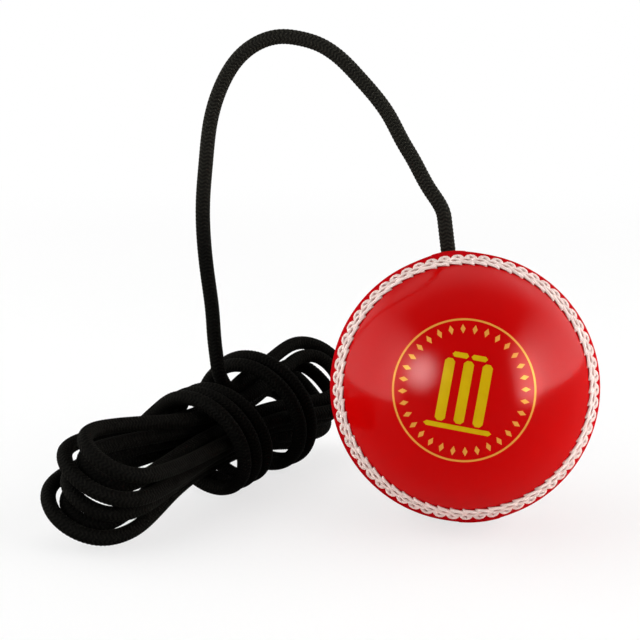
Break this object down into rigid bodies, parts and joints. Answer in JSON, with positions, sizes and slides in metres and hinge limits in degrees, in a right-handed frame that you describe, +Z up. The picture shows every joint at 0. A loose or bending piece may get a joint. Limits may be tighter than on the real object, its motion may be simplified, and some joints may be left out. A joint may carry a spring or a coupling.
{
  "type": "hanging cricket ball",
  "caption": "Stitched red practice ball threaded on a black braided cord that is knotted inside it, rises in an arch and ends in a wrapped hank with a free end for hanging.",
  "frame": {"origin": "the point on the floor under the ball's centre", "axes": "+Z up, -Y towards the viewer, +X to the viewer's right; the hank of cord lies towards -X"},
  "size_m": [0.1473, 0.112, 0.1305],
  "materials": {
    "cork_rubber": "matt granular cork and rubber",
    "red_pvc": "glossy red PVC with a fine grain",
    "stitch_thread": "waxed off-white thread",
    "red_fitting": "smooth red PVC",
    "white_nylon": "plain white nylon",
    "black_cord": "matt black braid",
    "melted_cord": "melted black cord end"
  },
  "bodies": {
    "cord": {"cord_arch": "black_cord", "cord_hank": "black_cord", "cord_tail": "black_cord", "cord_tail_tip": "melted_cord"},
    "neck": {"cord_neck": "black_cord"},
    "hanger": {"cord_in_ball": "black_cord", "stopper_knot": "black_cord", "knot_washer": "white_nylon", "cord_lower_tip": "melted_cord"},
    "ball": {"core": "cork_rubber", "front_cover": "red_pvc", "rear_cover": "red_pvc", "front_outer_thread": "stitch_thread", "front_middle_thread": "stitch_thread", "front_inner_thread": "stitch_thread", "rear_outer_thread": "stitch_thread", "rear_middle_thread": "stitch_thread", "rear_inner_thread": "stitch_thread", "cord_grommet": "red_fitting", "knot_plug": "red_fitting"}
  },
  "joints": [
    {"name": "swing_sideways", "type": "hinge", "parent": "cord", "child": "neck", "pos_m": [-0.00478, 0.01142, 0.07788], "axis": [0, 1, 0], "range_deg": [-60, 10]},
    {"name": "swing_fore_aft", "type": "hinge", "parent": "neck", "child": "hanger", "pos_m": [-0.00431, 0.0103, 0.07386], "axis": [1, 0, 0], "range_deg": [-60, 30]},
    {"name": "ball_spin", "type": "hinge", "parent": "hanger", "child": "ball", "pos_m": [0, 0, 0.0367], "axis": [-0.1112, 0.2656, 0.9577], "continuous": true}
  ]
}
